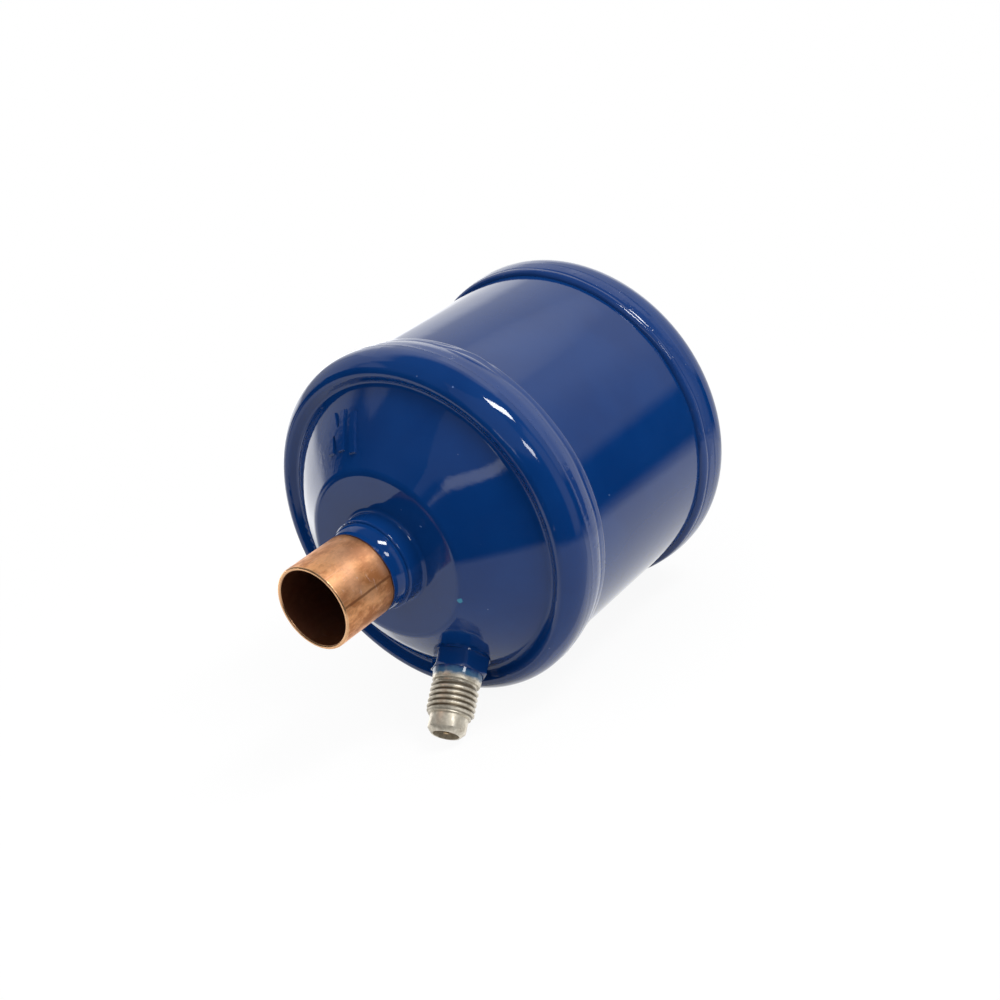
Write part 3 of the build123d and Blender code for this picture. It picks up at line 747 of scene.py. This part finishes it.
# ---------------------------------------------------------------- floor and room
def make_floor():
    bm = bmesh.new()
    bmesh.ops.create_circle(bm, cap_ends=True, segments=96, radius=floor_r)
    bmesh.ops.translate(bm, verts=bm.verts, vec=(0, 0, -floor_drop))
    bm.normal_update()
    bmesh.ops.reverse_faces(bm, faces=[f for f in bm.faces if f.normal.z < 0])
    mesh = bpy.data.meshes.new("floor")
    bm.to_mesh(mesh)
    bm.free()
    floor = bpy.data.objects.new("floor", mesh)
    bpy.context.scene.collection.objects.link(floor)
    made = bpy.data.materials.new("pale_floor")
    made.use_nodes = True
    tree = made.node_tree
    tree.nodes.clear()
    matt = node(tree, "BsdfDiffuse", Color=colour(0.82, 0.82, 0.82))
    white = node(tree, "Emission", Color=colour(1, 1, 1), Strength=1.0)
    rays = tree.nodes.new("ShaderNodeLightPath").outputs
    place = tree.nodes.new("ShaderNodeTexCoord").outputs["Object"]
    reach = vector_maths(tree, "LENGTH", place)["Value"]
    # White to the camera, clear to reflections and clear from beneath.
    beneath = tree.nodes.new("ShaderNodeNewGeometry").outputs["Backfacing"]
    share = times(tree, rays["Is Camera Ray"], step(tree, reach, 0.06, 0.24, 0.93, 1.0))
    share = times(tree, share, minus(tree, 1.0, beneath))
    unseen = maths(tree, "MAXIMUM", rays["Is Glossy Ray"], beneath)
    clear = tree.nodes.new("ShaderNodeBsdfTransparent")
    lit = node(tree, "MixShader", _0=unseen)
    tree.links.new(matt.outputs[0], lit.inputs[1])
    tree.links.new(clear.outputs[0], lit.inputs[2])
    mixed = node(tree, "MixShader", _0=share)
    tree.links.new(lit.outputs[0], mixed.inputs[1])
    tree.links.new(white.outputs[0], mixed.inputs[2])
    out = tree.nodes.new("ShaderNodeOutputMaterial")
    tree.links.new(mixed.outputs[0], out.inputs["Surface"])
    mesh.materials.append(made)


def compass(azimuth, elevation):
    """Direction towards an azimuth and elevation, in degrees."""
    a, e = math.radians(azimuth), math.radians(elevation)
    return Vector((math.cos(a) * math.cos(e), math.sin(a) * math.cos(e), math.sin(e)))


def band(tree, value, low, high, soft):
    """1 between low and high, with soft edges of this width to either side."""
    rise = step(tree, value, low - soft, low + soft)
    fall = step(tree, value, high - soft, high + soft, 1.0, 0.0)
    return times(tree, rise, fall)


def make_room():
    """White sweep behind the drier, a low white table and a dim room in front."""
    world = bpy.data.worlds.new("studio")
    bpy.context.scene.world = world
    world.use_nodes = True
    tree = world.node_tree
    tree.nodes.clear()
    place = tree.nodes.new("ShaderNodeTexCoord").outputs["Generated"]
    split = node(tree, "SeparateXYZ", Vector=place).outputs
    to_degrees = 180 / math.pi
    azimuth = times(tree, maths(tree, "ARCTAN2", split[1], split[0]), to_degrees)
    elevation = times(tree, maths(tree, "ARCSINE", split[2]), to_degrees)
    # The sweep's upper edge leans over, away from the key lamp.
    high = maths(tree, "MAXIMUM", minus(tree, elevation, 28.0), 0.0)
    leaning = minus(tree, azimuth, times(tree, high, 1.05))
    sweep = times(tree, band(tree, leaning, -47, 64, 4), band(tree, elevation, -40, 56, 8))
    gap = times(tree, band(tree, azimuth, -46, -31, 1.5), band(tree, elevation, -22, 3, 4))
    sweep = times(tree, sweep, minus(tree, 1.0, gap))
    total = times(tree, sweep, step(tree, azimuth, -42, -26, 0.48, 0.80))
    # Panels: azimuth from and to, elevation from and to, softness, radiance.
    for az_from, az_to, el_from, el_to, soft, radiance in (
        (-22, 28, 36, 50, 7, 1.2),
        (8, 60, -12, 24, 9, 1.25),
        (42, 99, -21, 4, 5, 2.1),
        (62, 104, 0, 58, 6, 0.6),
        (95, 122, -22, -6, 4, 1.3),
        (96, 160, -40, -15, 3, 0.85),
        (105, 125, 36, 48, 3, 0.45),
        (-76, -50, -22, 38, 5, 0.42),
        (-168, -143, 18, 24, 1.5, 1.7),
        (-190, -95, 24, 66, 2, 0.24),
        (-190, 190, 30, 100, 8, 0.08),
        (-190, 190, -100, -24, 3, 0.68),
        (-42, 66, -100, -24, 4, 1.05),
    ):
        inside = times(
            tree, band(tree, azimuth, az_from, az_to, soft),
            band(tree, elevation, el_from, el_to, soft),
        )
        total = maths(tree, "MAXIMUM", total, times(tree, inside, radiance))
    rays = tree.nodes.new("ShaderNodeLightPath").outputs
    overhead = step(tree, elevation, 0, 80, 0.50, 1.45)
    strength = blend_value(tree, rays["Is Glossy Ray"], overhead, total)
    seen = blend_value(tree, rays["Is Camera Ray"], strength, 1.0)
    back = node(tree, "Background", Color=colour(1, 1, 1), Strength=seen)
    out = tree.nodes.new("ShaderNodeOutputWorld")
    tree.links.new(back.outputs[0], out.inputs["Surface"])


def soft_lamp(name, azimuth, elevation, turn, width, height, radiance):
    """Area lamp that faces the drier. Its power is what gives that radiance."""
    lamp = bpy.data.lights.new(name, "AREA")
    lamp.shape = "RECTANGLE"
    lamp.size = width
    lamp.size_y = height
    lamp.energy = radiance * math.pi * width * height
    holder = bpy.data.objects.new(name, lamp)
    bpy.context.scene.collection.objects.link(holder)
    towards = compass(azimuth, elevation)
    holder.location = towards * lamp_distance
    facing = towards.to_track_quat("Z", "Y") @ Quaternion((0, 0, 1), math.radians(turn))
    holder.rotation_euler = facing.to_euler()


def make_camera():
    right = Vector((0.57705, -0.78245, -0.23405))
    down = Vector((-0.43340, -0.05049, -0.89979))
    ahead = Vector((0.69223, 0.62066, -0.36825))
    camera = bpy.data.cameras.new("camera")
    camera.sensor_width = 36.0
    camera.lens = 53.125
    camera.clip_start = 0.01
    holder = bpy.data.objects.new("camera", camera)
    bpy.context.scene.collection.objects.link(holder)
    matrix = Matrix((right, -down, -ahead)).transposed().to_4x4()
    matrix.translation = Vector((-0.25375, -0.2237, 0.1264))
    holder.matrix_world = matrix
    bpy.context.scene.camera = holder


make_floor()
make_room()
soft_lamp("key_lamp", -73, 55, -46, 0.48, 0.19, 24.0)
soft_lamp("side_lamp", -98, 30, -46, 0.24, 0.16, 13.0)
make_camera()
bpy.context.scene.view_settings.view_transform = "Standard"
